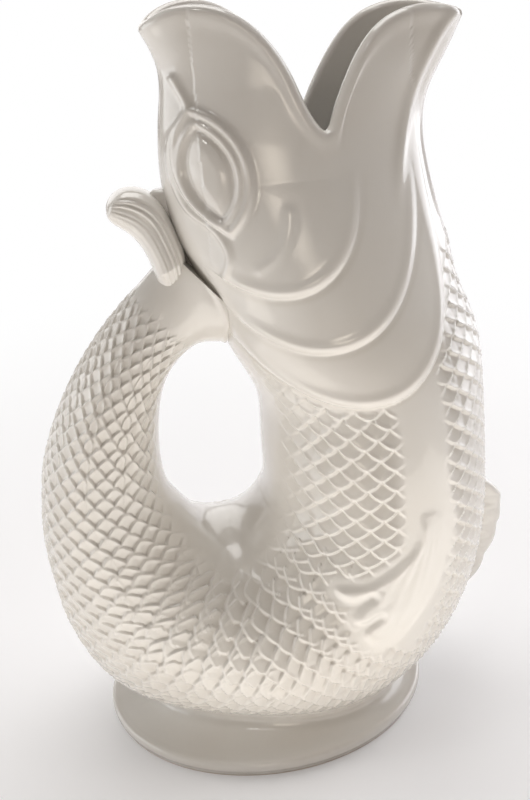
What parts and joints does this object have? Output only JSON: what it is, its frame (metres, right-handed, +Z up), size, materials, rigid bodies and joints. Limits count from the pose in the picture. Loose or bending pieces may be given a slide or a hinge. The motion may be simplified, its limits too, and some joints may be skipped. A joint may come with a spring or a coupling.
{
  "type": "gurgle jug",
  "caption": "Glazed white earthenware gurgle jug: a hollow fish standing head up on an oval foot, with an open mouth as pouring rim and the tail curled up as handle.",
  "frame": {"origin": "middle of the underside of the oval foot, on the table", "axes": "+Z up; +X towards the chin, over which the jug pours, with the tail handle at -X; +Y towards the fish's left side"},
  "size_m": [0.1711, 0.101, 0.2564],
  "materials": {
    "white_glaze": "gloss"
  },
  "bodies": {
    "root": {"body": "white_glaze", "head": "white_glaze", "tail_handle": "white_glaze", "tail_fin": "white_glaze", "belly_fin": "white_glaze", "foot": "white_glaze", "eye_right": "white_glaze", "eye_left": "white_glaze", "gill_plate_front_right": "white_glaze", "gill_plate_front_left": "white_glaze", "gill_plate_middle_right": "white_glaze", "gill_plate_middle_left": "white_glaze", "gill_plate_rear_right": "white_glaze", "gill_plate_rear_left": "white_glaze", "side_fin_right": "white_glaze", "side_fin_left": "white_glaze"}
  },
  "joints": []
}
